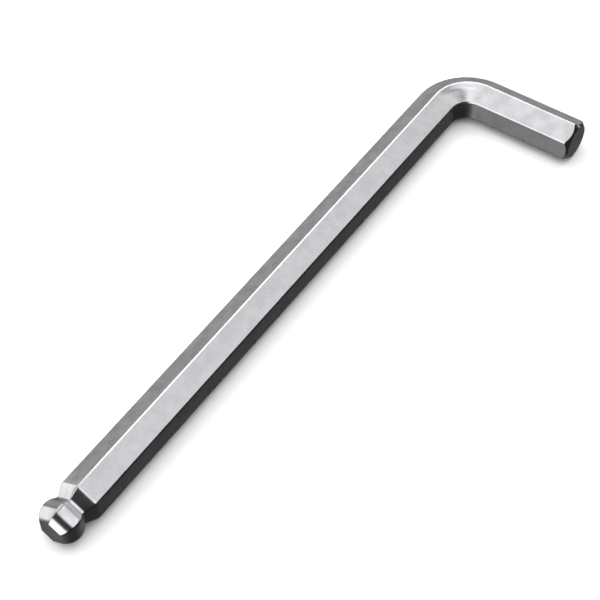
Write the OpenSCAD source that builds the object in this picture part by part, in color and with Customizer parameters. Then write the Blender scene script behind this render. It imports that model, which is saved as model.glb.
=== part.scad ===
// Ball-end hex key: one hexagon bar with a machined ball at the end of its long arm, a square bend,
// and a short arm whose plain end is chamfered. All sizes in millimetres.
// The key lies on its two arms, each resting on a corner of the hexagon, with flats facing into
// and out of the bend. +X runs up the long arm from the ball to the bend, the short arm points
// towards -Y, and the origin is on the floor under the middle of the whole key.

/* [Bar] */
// Size of the hexagon across its flats
across_flats = 10; // [8:0.5:14]
// Width of the rounded land along each corner of the hexagon
corner_land = 0.44; // [0.2:0.02:0.8]
// Length of the long arm, from the ball's end face to the outside of the short arm
long_arm_l = 173; // [110:1:240]
// Length of the short arm, from its end face to the outside of the long arm
short_arm_l = 42; // [32:1:70]
// Radius of the flat on the inside of the bend
bend_inside_r = 5; // [3:0.5:12]

/* [Plain end] */
// How far the round end face stays inside the flats
tip_inset = 0.5; // [0.2:0.1:1.5]
// Angle between the end chamfer and the short arm's axis
tip_angle = 45; // [30:1:60]

/* [Ball end] */
// How much lower each facet of the ball is than the flat behind it
ball_relief = 0.25; // [0.1:0.05:0.6]
// Depth of the neck below each flat
neck_depth = 1.25; // [1:0.05:1.8]
// Radius of the hollow that runs into the neck
neck_r = 2.4; // [1:0.1:3]
// Slope of the cut from the shoulder down to the neck
taper_angle = 24; // [20:1:35]
// Length that the shoulder's bevel takes from the flat, and from that cut
shoulder_bevel = 0.3; // [0.1:0.05:0.5]
// Size of the ball's end face across its flats
ball_face = 5.9; // [3:0.1:6.5]

/* [Hidden] */
$fn = 96;

flat_r = across_flats / 2;
// Radius over the corners at which the lands have their width
corner_r = norm([(flat_r - corner_land / 4) / cos(30), corner_land / 2]);
// Width of a cut that covers the bar from side to side
cut_width = 3 * across_flats;
// How far a cut starts clear of the ball's end face
cut_clear = 0.5;

bend_r = bend_inside_r + flat_r;
long_straight = long_arm_l - flat_r - bend_r;
short_straight = short_arm_l - flat_r - bend_r;
bend_x = long_arm_l / 2 - flat_r - bend_r;
bend_y = short_arm_l / 2 - flat_r - bend_r;

tip_r = flat_r - tip_inset;

ball_r = flat_r - ball_relief;
neck_h = flat_r - neck_depth;
ball_x = sqrt(pow(ball_r, 2) - pow(ball_face / 2, 2));
neck_x = ball_x + sqrt(pow(ball_r, 2) - pow(neck_h, 2));
// End of the hollow, where it meets the straight cut
hollow_x = neck_x + neck_r * sin(taper_angle);
hollow_h = neck_h + neck_r * (1 - cos(taper_angle));
shoulder_x = hollow_x + (flat_r - hollow_h) / tan(taper_angle);
bevel_x = shoulder_x + shoulder_bevel;

// The bar's section: flats to the left and right, a corner at the top and bottom
module bar_section() {
    intersection() {
        rotate(30)
            circle(r = flat_r / cos(30), $fn = 6);
        circle(r = corner_r);
    }
}

// Side view of the finished ball end: the ball, its neck, and the start of the bar behind them.
// Only what lies above its axis is used.
module ball_view() {
    translate([ball_x, 0])
        circle(r = ball_r);
    difference() {
        polygon([
            [ball_x, 0],
            [bevel_x + across_flats, 0],
            [bevel_x + across_flats, flat_r],
            [bevel_x, flat_r],
            [shoulder_x - shoulder_bevel * cos(taper_angle), flat_r - shoulder_bevel * sin(taper_angle)],
            [hollow_x, hollow_h],
            [ball_x, neck_h]
        ]);
        translate([neck_x, neck_h + neck_r])
            circle(r = neck_r);
    }
}

// What is milled away over one flat to leave one facet of the ball end
module facet_cut() {
    linear_extrude(cut_width, center = true)
        difference() {
            translate([-cut_clear, 0])
                square([bevel_x + cut_clear, across_flats]);
            ball_view();
        }
}

// The long arm: the bar with its ball end milled, one facet for each flat
module long_arm() {
    difference() {
        rotate([90, 0, 90])
            linear_extrude(long_straight)
                bar_section();
        for (turn = [0 : 60 : 300])
            rotate([turn, 0, 0])
                facet_cut();
    }
}

// The quarter bend, about its own centre
module bend() {
    rotate_extrude(angle = 90)
        translate([bend_r, 0])
            bar_section();
}

// The short arm, from the bend to its chamfered end face
module short_arm() {
    rotate([90, 0, 0])
        intersection() {
            linear_extrude(short_straight)
                bar_section();
            cylinder(h = short_straight, r1 = tip_r + short_straight * tan(tip_angle), r2 = tip_r);
        }
}

module hex_key() {
    color([0.78, 0.79, 0.8])
        translate([bend_x, bend_y, corner_r]) {
            translate([-long_straight, bend_r, 0])
                long_arm();
            bend();
            translate([bend_r, 0, 0])
                short_arm();
        }
}

hex_key();
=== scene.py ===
import math

import bpy
from mathutils import Matrix, Vector


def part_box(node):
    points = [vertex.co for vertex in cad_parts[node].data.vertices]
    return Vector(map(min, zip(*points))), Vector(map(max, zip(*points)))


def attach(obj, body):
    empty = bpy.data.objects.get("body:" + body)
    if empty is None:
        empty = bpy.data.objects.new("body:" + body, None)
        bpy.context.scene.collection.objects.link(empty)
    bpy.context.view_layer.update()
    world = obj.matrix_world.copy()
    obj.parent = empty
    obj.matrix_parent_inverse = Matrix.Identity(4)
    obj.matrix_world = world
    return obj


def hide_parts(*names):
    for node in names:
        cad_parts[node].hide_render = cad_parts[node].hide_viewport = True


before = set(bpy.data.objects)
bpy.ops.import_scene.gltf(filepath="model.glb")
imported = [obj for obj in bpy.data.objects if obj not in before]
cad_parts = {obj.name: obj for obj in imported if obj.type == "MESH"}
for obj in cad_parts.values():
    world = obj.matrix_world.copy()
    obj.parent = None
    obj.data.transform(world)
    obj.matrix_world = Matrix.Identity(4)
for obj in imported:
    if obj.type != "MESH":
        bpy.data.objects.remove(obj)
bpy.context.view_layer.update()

# --- The bar ------------------------------------------------------------------------------------
# The key is one length of hexagon bar in tool steel, drawn to size. Drawing leaves six flat sides
# and a narrow round land along each corner. Everything else on the key is bent or cut from it.
mm = 0.001
across_flats = 10 * mm
corner_land = 0.44 * mm
flat_r = across_flats / 2
half_side = math.radians(30)
land_r = (flat_r - corner_land / 4) / math.cos(half_side)
corner_r = math.hypot(land_r, corner_land / 2)

low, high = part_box("hex_key")
long_axis_y = high.y - flat_r
short_axis_x = high.x - flat_r
axis_z = (low.z + high.z) / 2

# The key's shape is written down along the bar's own axis, from the ball to the plain end. Each
# station says where it is, how far the flats are from the axis, how far out the corners may reach,
# whether a tool has cut it, how much of the bend's swell it has, and if the end chamfer starts there.
station_values = ("facet", "reach", "cut", "swell", "chamfer")
stations = []


def station(place, facet=flat_r, reach=corner_r, cut=0.0, swell=0.0, chamfer=0.0):
    """Note one station. Its flats are kept as a share of the drawn bar's, to scale the section by."""
    stations.append({
        "place": place,
        "facet": facet / flat_r,
        "reach": reach,
        "cut": cut,
        "swell": swell,
        "chamfer": chamfer,
    })


# --- The ball end -------------------------------------------------------------------------------
# The ball is milled on the end of the long arm, one facet for each flat, so that the key still
# drives when it is held askew. A sloping cut and a hollow behind it leave the neck.
ball_r = flat_r - 0.25 * mm
ball_face_r = 2.95 * mm
neck_h = flat_r - 1.25 * mm
hollow_r = 2.4 * mm
taper_angle = math.radians(24)
shoulder_bevel = 0.3 * mm
ball_steps = 40
hollow_steps = 8

ball_x = math.sqrt(ball_r ** 2 - ball_face_r ** 2)
neck_x = ball_x + math.sqrt(ball_r ** 2 - neck_h ** 2)
hollow_x = neck_x + hollow_r * math.sin(taper_angle)
hollow_h = neck_h + hollow_r * (1 - math.cos(taper_angle))
shoulder_x = hollow_x + (flat_r - hollow_h) / math.tan(taper_angle)


def on_long_arm(distance):
    """A place on the long arm's axis, that far from the ball's end face."""
    return Vector((low.x + distance, long_axis_y, axis_z))


ball_start = math.asin(ball_face_r / ball_r)
ball_end = math.pi - math.asin(neck_h / ball_r)
for step in range(ball_steps + 1):
    turn = ball_start + (ball_end - ball_start) * step / ball_steps
    station(on_long_arm(ball_x - ball_r * math.cos(turn)), ball_r * math.sin(turn), cut=1.0)
for step in range(1, hollow_steps + 1):
    turn = taper_angle * step / hollow_steps
    drop = hollow_r * (1 - math.cos(turn))
    station(on_long_arm(neck_x + hollow_r * math.sin(turn)), neck_h + drop, cut=1.0)
station(
    on_long_arm(shoulder_x - shoulder_bevel * math.cos(taper_angle)),
    flat_r - shoulder_bevel * math.sin(taper_angle),
    cut=1.0,
)
station(on_long_arm(shoulder_x + shoulder_bevel), cut=1.0)

# --- The long arm, the bend and the short arm ---------------------------------------------------
# The bar is bent cold round a former to a right angle. The metal on the inside of the bend is
# squeezed and stands up in a low swell on the upper flat, nearer the top corner.
bend_r = across_flats
bend_angle = math.radians(90)
swell_height = 0.25 * mm
swell_crest = 1.5 * mm
arm_steps = 20
bend_steps = 48
arm_x = low.x + shoulder_x + shoulder_bevel
bend_x = short_axis_x - bend_r
bend_y = long_axis_y - bend_r

for step in range(1, arm_steps + 1):
    station(Vector((arm_x + (bend_x - arm_x) * step / arm_steps, long_axis_y, axis_z)))
for step in range(1, bend_steps + 1):
    turn = bend_angle * step / bend_steps
    place = Vector((bend_x + bend_r * math.sin(turn), bend_y + bend_r * math.cos(turn), axis_z))
    station(place, swell=math.sin(2 * turn))

# The short arm's end is sawn square and chamfered in a lathe, so its end face is round and the
# chamfer runs further up the corners than up the flats.
tip_r = 4.5 * mm
tip_angle = math.radians(45)
chamfer_length = (corner_r - tip_r) / math.tan(tip_angle)
plain_end_y = low.y + 2 * chamfer_length
short_steps = 3

for step in range(1, short_steps + 1):
    place_y = bend_y + (plain_end_y - bend_y) * step / short_steps
    station(Vector((short_axis_x, place_y, axis_z)))
station(Vector((short_axis_x, low.y + chamfer_length, axis_z)), cut=1.0, chamfer=1.0)
station(Vector((short_axis_x, low.y, axis_z)), reach=tip_r, cut=1.0)

axis_mesh = bpy.data.meshes.new("bar_axis")
axis_mesh.from_pydata(
    [noted["place"] for noted in stations],
    [(i, i + 1) for i in range(len(stations) - 1)],
    [],
)
for name in station_values:
    values = axis_mesh.attributes.new(name, "FLOAT", "POINT")
    values.data.foreach_set("value", [noted[name] for noted in stations])
key = bpy.data.objects.new("hex_key_body", axis_mesh)
bpy.context.scene.collection.objects.link(key)


# --- Satin chrome -------------------------------------------------------------------------------
# The whole key is plated with a thin coat of satin chrome. It follows the drawn bar's faint
# unevenness, is smoother where the ball and the chamfer were cut, and is a little cool in colour.
dull_chrome = (0.68, 0.677, 0.70, 1.0)
bright_chrome = (0.815, 0.81, 0.835, 1.0)
drawn_roughness = (0.26, 0.31)
cut_roughness = 0.19
mottle_per_metre = 320.0
mottle_depth = 0.005 * mm
grain_per_metre = 2600.0
grain_depth = 0.001 * mm
drawn_bump = 0.5
cut_bump = 0.1


def node(tree, kind, feeds=None, **settings):
    """Add a node to a tree, with its settings, and what its inputs are given or linked to."""
    made = tree.nodes.new(kind)
    for name, value in settings.items():
        setattr(made, name, value)
    for socket, value in (feeds or {}).items():
        if isinstance(value, bpy.types.NodeSocket):
            tree.links.new(value, made.inputs[socket])
        else:
            made.inputs[socket].default_value = value
    return made


def satin_chrome():
    """The plating: soft patches a few millimetres wide, with a fine grain over them."""
    finish = bpy.data.materials.new("satin_chrome")
    finish.use_nodes = True
    tree = finish.node_tree
    steel = tree.nodes["Principled BSDF"]
    steel.inputs["Metallic"].default_value = 1.0
    where = node(tree, "ShaderNodeTexCoord").outputs["Object"]
    cut = node(tree, "ShaderNodeAttribute", attribute_name="cut_face").outputs["Fac"]

    mottle = node(tree, "ShaderNodeTexNoise",
                  {"Vector": where, "Scale": mottle_per_metre, "Detail": 3.0, "Roughness": 0.5})
    grain = node(tree, "ShaderNodeTexNoise",
                 {"Vector": where, "Scale": grain_per_metre, "Detail": 2.0, "Roughness": 0.6})

    tone = node(tree, "ShaderNodeValToRGB", {"Fac": mottle.outputs["Fac"]})
    dull, bright = tone.color_ramp.elements
    dull.position = 0.36
    dull.color = dull_chrome
    bright.position = 0.62
    bright.color = bright_chrome
    tree.links.new(tone.outputs["Color"], steel.inputs["Base Color"])

    satin = node(tree, "ShaderNodeMapRange", {
        "Value": mottle.outputs["Fac"], "From Min": 0.3, "From Max": 0.7,
        "To Min": drawn_roughness[0], "To Max": drawn_roughness[1],
    })
    gloss = node(tree, "ShaderNodeMix",
                 {"Factor": cut, "A": satin.outputs["Result"], "B": cut_roughness},
                 data_type="FLOAT")
    tree.links.new(gloss.outputs["Result"], steel.inputs["Roughness"])

    depth = node(tree, "ShaderNodeMapRange",
                 {"Value": cut, "To Min": drawn_bump, "To Max": cut_bump})
    waves = node(tree, "ShaderNodeBump", {
        "Strength": depth.outputs["Result"], "Distance": mottle_depth,
        "Height": mottle.outputs["Fac"],
    })
    fine = node(tree, "ShaderNodeBump", {
        "Strength": depth.outputs["Result"], "Distance": grain_depth,
        "Height": grain.outputs["Fac"], "Normal": waves.outputs["Normal"],
    })
    tree.links.new(fine.outputs["Normal"], steel.inputs["Normal"])
    return finish


# --- The key's surface --------------------------------------------------------------------------
# The hexagon section follows the bar's axis, and each station trims it to what was drawn, bent or
# cut there. The result is one closed skin, with a slight softness on every edge.
strips_on_a_flat = 9
corner_steps = 4
softness = 0.05 * mm


def bar_tree():
    """The tree that draws the section, runs it along the axis and shapes it at each station."""
    tree = bpy.data.node_groups.new("hexagon_bar", "GeometryNodeTree")
    inputs = (
        ("Axis", "NodeSocketGeometry"),
        ("Across Flats", "NodeSocketFloat"),
        ("Corner Land", "NodeSocketFloat"),
        ("Corner Steps", "NodeSocketInt"),
        ("Strips on a Flat", "NodeSocketInt"),
        ("Swell Height", "NodeSocketFloat"),
        ("Swell Crest", "NodeSocketFloat"),
        ("Chamfer Angle", "NodeSocketFloat"),
        ("Corner Reach", "NodeSocketFloat"),
        ("Finish", "NodeSocketMaterial"),
    )
    for name, kind in inputs:
        tree.interface.new_socket(name, in_out="INPUT", socket_type=kind)
    tree.interface.new_socket("Key", in_out="OUTPUT", socket_type="NodeSocketGeometry")
    given = node(tree, "NodeGroupInput").outputs

    def maths(operation, *values, clamp=False):
        return node(tree, "ShaderNodeMath", dict(enumerate(values)),
                    operation=operation, use_clamp=clamp).outputs[0]

    def vectors(operation, result=0, **values):
        places = {"a": 0, "b": 1, "scale": 3}
        return node(tree, "ShaderNodeVectorMath", {places[k]: v for k, v in values.items()},
                    operation=operation).outputs[result]

    def attribute(name, kind="FLOAT"):
        return node(tree, "GeometryNodeInputNamedAttribute", {"Name": name},
                    data_type=kind).outputs[0]

    def keep(geometry, name, value, kind="FLOAT_VECTOR", domain="POINT"):
        return node(tree, "GeometryNodeStoreNamedAttribute",
                    {"Geometry": geometry, "Name": name, "Value": value},
                    data_type=kind, domain=domain).outputs[0]

    # The section: a hexagon with a corner on top, its flats in strips. A hexagon's corner that is
    # rounded to some radius gets a land as wide as that radius, so the land's width sets both
    corner = maths("DIVIDE", given["Across Flats"], math.sqrt(3))
    hexagon = node(tree, "GeometryNodeCurvePrimitiveCircle", {"Resolution": 6, "Radius": corner})
    on_corner = node(tree, "GeometryNodeTransform", {
        "Geometry": hexagon.outputs[0], "Rotation": (0.0, 0.0, half_side),
    })
    rounded = node(tree, "GeometryNodeFilletCurve", {
        "Curve": on_corner.outputs[0], "Count": given["Corner Steps"],
        "Radius": given["Corner Land"],
    }, mode="POLY")
    index = node(tree, "GeometryNodeInputIndex").outputs[0]
    within = maths("MODULO", index, maths("ADD", given["Corner Steps"], 1.0))
    last_of_corner = maths("GREATER_THAN", within, maths("SUBTRACT", given["Corner Steps"], 0.5))
    strips = node(tree, "GeometryNodeSubdivideCurve", {
        "Curve": rounded.outputs[0],
        "Cuts": maths("MULTIPLY", last_of_corner, given["Strips on a Flat"]),
    })
    position = node(tree, "GeometryNodeInputPosition").outputs[0]
    section = keep(strips.outputs[0], "section", position)

    # The bar: the section along the axis, at each station's size
    line = node(tree, "GeometryNodeMeshToCurve", {"Mesh": given["Axis"]}).outputs[0]
    upright = node(tree, "GeometryNodeSetCurveNormal", {"Curve": line}, mode="Z_UP").outputs[0]
    rail = keep(upright, "axis_place", position)
    bar = node(tree, "GeometryNodeCurveToMesh", {
        "Curve": rail, "Profile Curve": section, "Scale": attribute("facet"), "Fill Caps": True,
    }).outputs[0]

    # The corners are trimmed to each station's reach
    centre = attribute("axis_place", "FLOAT_VECTOR")
    arm = vectors("SUBTRACT", a=position, b=centre)
    arm_length = vectors("LENGTH", result=1, a=arm)
    trimmed = maths("MINIMUM", arm_length, attribute("reach"))
    shorter = maths("DIVIDE", trimmed, arm_length)
    trimmed_place = vectors("ADD", a=centre, b=vectors("SCALE", a=arm, scale=shorter))

    # The section's X points into the bend and its Y points down. The swell rises from the top
    # corner's land to its crest, and falls to the inner corner
    spot = node(tree, "ShaderNodeSeparateXYZ", {0: attribute("section", "FLOAT_VECTOR")}).outputs
    inward = spot["X"]
    upward = maths("MULTIPLY", spot["Y"], -1.0)
    flat_edge = maths("DIVIDE", given["Across Flats"], 2.0)
    rise = maths("DIVIDE", maths("SUBTRACT", inward, given["Corner Land"]),
                 maths("SUBTRACT", given["Swell Crest"], given["Corner Land"]))
    fall = maths("DIVIDE", maths("SUBTRACT", flat_edge, inward),
                 maths("SUBTRACT", flat_edge, given["Swell Crest"]))
    tent = maths("MINIMUM", rise, fall, clamp=True)
    upper = maths("GREATER_THAN", upward, 0.0)
    share = maths("MULTIPLY", maths("MULTIPLY", tent, upper), attribute("swell"))
    lift = node(tree, "ShaderNodeCombineXYZ",
                {"Z": maths("MULTIPLY", share, given["Swell Height"])}).outputs[0]

    # The chamfer starts nearer the end face on the flats than on the corners
    spare = maths("SUBTRACT", given["Corner Reach"], trimmed)
    slide = maths("DIVIDE", spare, maths("TANGENT", given["Chamfer Angle"]))
    towards_end = maths("MULTIPLY", maths("MULTIPLY", slide, attribute("chamfer")), -1.0)
    shift = node(tree, "ShaderNodeCombineXYZ", {"Y": towards_end}).outputs[0]

    shaped = node(tree, "GeometryNodeSetPosition", {
        "Geometry": bar, "Position": trimmed_place,
        "Offset": vectors("ADD", a=lift, b=shift),
    }).outputs[0]
    cut_all_over = maths("GREATER_THAN", attribute("cut"), 0.99)
    marked = keep(shaped, "cut_face", cut_all_over, "FLOAT", "FACE")

    smooth = node(tree, "GeometryNodeSetShadeSmooth", {"Geometry": marked}).outputs[0]
    real = node(tree, "GeometryNodeRealizeInstances", {0: smooth}).outputs[0]
    dressed = node(tree, "GeometryNodeSetMaterial", {0: real, "Material": given["Finish"]})
    done = node(tree, "NodeGroupOutput")
    tree.links.new(dressed.outputs[0], done.inputs[0])
    return tree


drawn = key.modifiers.new("hexagon_bar", "NODES")
drawn.node_group = bar_tree()
sizes = {
    "Across Flats": across_flats,
    "Corner Land": corner_land,
    "Corner Steps": corner_steps,
    "Strips on a Flat": strips_on_a_flat,
    "Swell Height": swell_height,
    "Swell Crest": swell_crest,
    "Chamfer Angle": tip_angle,
    "Corner Reach": corner_r,
    "Finish": satin_chrome(),
}
for item in drawn.node_group.interface.items_tree:
    if item.in_out == "INPUT" and item.name in sizes:
        drawn[item.identifier] = sizes[item.name]

edges = key.modifiers.new("soft_edges", "BEVEL")
edges.width = softness
edges.segments = 2
edges.limit_method = "ANGLE"
edges.angle_limit = math.radians(20)
edges.harden_normals = True

seen = key.evaluated_get(bpy.context.evaluated_depsgraph_get())
skin = bpy.data.meshes.new_from_object(seen)
key.modifiers.clear()
key.data = skin
for name in ("axis_place", "section", *station_values):
    if name in skin.attributes:
        skin.attributes.remove(skin.attributes[name])

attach(key, "root")
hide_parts("hex_key")

# --- The table and the light --------------------------------------------------------------------
# The key lies on a plain pale table. One wide lamp lights the table alone, and the cards and soft
# boxes around it light the metal alone, so that each is as bright as it should be. The room is dark
# in front and overhead, and a dim grey at the back and low down.
table_half = 3.0
table_white = (0.9, 0.9, 0.9, 1.0)
room_dark = 0.018
room_grey = 0.11
room_slope = (0.0, 2.2, -1.0)

table_mesh = bpy.data.meshes.new("table")
table_mesh.from_pydata(
    [(x * table_half, y * table_half, low.z) for x, y in ((-1, -1), (1, -1), (1, 1), (-1, 1))],
    [],
    [(0, 1, 2, 3)],
)
table = bpy.data.objects.new("table", table_mesh)
bpy.context.scene.collection.objects.link(table)
table.visible_glossy = False
pale = bpy.data.materials.new("pale_table")
pale.use_nodes = True
paint = pale.node_tree.nodes["Principled BSDF"]
paint.inputs["Base Color"].default_value = table_white
paint.inputs["Roughness"].default_value = 0.9
paint.inputs["Specular IOR Level"].default_value = 0.0
table_mesh.materials.append(pale)


def soft_light(name, place, size, tone, aim, for_table=False):
    """Set up a card or soft box of an even brightness, facing aim, for the metal or for the table."""
    width, height = size
    light = bpy.data.lights.new(name, "AREA")
    light.shape = "RECTANGLE"
    light.size = width
    light.size_y = height
    light.energy = math.pi * width * height * tone
    box = bpy.data.objects.new(name, light)
    facing = (Vector(aim) - Vector(place)).to_track_quat("-Z", "Y")
    box.matrix_world = Matrix.Translation(place) @ facing.to_matrix().to_4x4()
    box.visible_diffuse = for_table
    box.visible_glossy = not for_table
    bpy.context.scene.collection.objects.link(box)


# The lamp and the boxes hang over the table and face straight down, or nearly
soft_light("table_lamp", (-0.1, 0.1, 1.6), size=(3.6, 3.6), tone=2.35, aim=(0, 0, 0), for_table=True)
soft_light("ceiling", (0.1, 0.2, 1.0), size=(2.0, 1.0), tone=0.93, aim=(0.1, 0.2, 0))
soft_light("front_right", (0.48, -0.75, 1.0), size=(1.48, 0.44), tone=1.17, aim=(0.48, -0.75, 0))
soft_light("back_right", (0.75, 0.5, 0.98), size=(1.0, 0.4), tone=1.5, aim=(0.75, 0.5, 0))
soft_light("top_card", (-0.05, -0.2, 0.97), size=(0.28, 0.24), tone=1.2, aim=(-0.05, -0.2, 0))

# The cards stand around the key and face inwards. The low one is under the table, which the metal
# doesn't mirror, and gives the faces that look down a little light
soft_light("left_card", (-1.2, 0.1, 0.4), size=(1.7, 1.1), tone=1.35, aim=(0, 0.1, 0.4))
soft_light("grey_card", (0.93, 0.58, 0.12), size=(2.1, 0.95), tone=0.22, aim=(0, 0, 0.12))
soft_light("right_card", (1.3, -0.45, 0.6), size=(1.1, 1.0), tone=0.5, aim=(0, -0.45, 0.6))
soft_light("back_wall", (0.1, 1.15, 0.72), size=(2.0, 0.55), tone=0.55, aim=(0.1, 0, 0.4))
soft_light("back_strip", (-0.24, 1.0, 0.06), size=(0.74, 0.5), tone=1.0, aim=(-0.24, 0, 0.06))
soft_light("low_card", (-1.0, 0.3, -0.8), size=(1.0, 1.1), tone=0.18, aim=(0, 0.3, -0.8))

room = bpy.data.worlds.new("studio")
bpy.context.scene.world = room
room.use_nodes = True
room_tree = room.node_tree
direction = node(room_tree, "ShaderNodeTexCoord").outputs["Generated"]
side = node(room_tree, "ShaderNodeVectorMath", {0: direction, 1: room_slope},
            operation="DOT_PRODUCT")
walls = node(room_tree, "ShaderNodeMapRange", {
    "Value": side.outputs["Value"], "From Min": -0.35, "From Max": 0.3,
    "To Min": room_dark, "To Max": room_grey,
})
room_light = room_tree.nodes["Background"]
room_light.inputs["Color"].default_value = (1.0, 1.0, 1.0, 1.0)
room_tree.links.new(walls.outputs["Result"], room_light.inputs["Strength"])

# --- The camera ---------------------------------------------------------------------------------
# A long lens looks steeply down on the key from beyond the ball, on the side that the short arm
# points to. It is turned about the upright, tipped up from straight down, and leans a little.
camera_place = (-0.19538, -0.13078, 0.29653)
camera_turn = math.radians(-54.0846)
camera_tip = math.radians(39.2222)
camera_lean = math.radians(-1.4548)
focal_length = 93.3

camera_data = bpy.data.cameras.new("camera")
camera_data.lens = focal_length
camera_data.clip_start = 10 * mm
camera = bpy.data.objects.new("camera", camera_data)
camera.matrix_world = (Matrix.Translation(camera_place)
                       @ Matrix.Rotation(camera_turn, 4, "Z")
                       @ Matrix.Rotation(camera_tip, 4, "X")
                       @ Matrix.Rotation(camera_lean, 4, "Z"))
bpy.context.scene.collection.objects.link(camera)
bpy.context.scene.camera = camera
bpy.context.scene.view_settings.view_transform = "Standard"
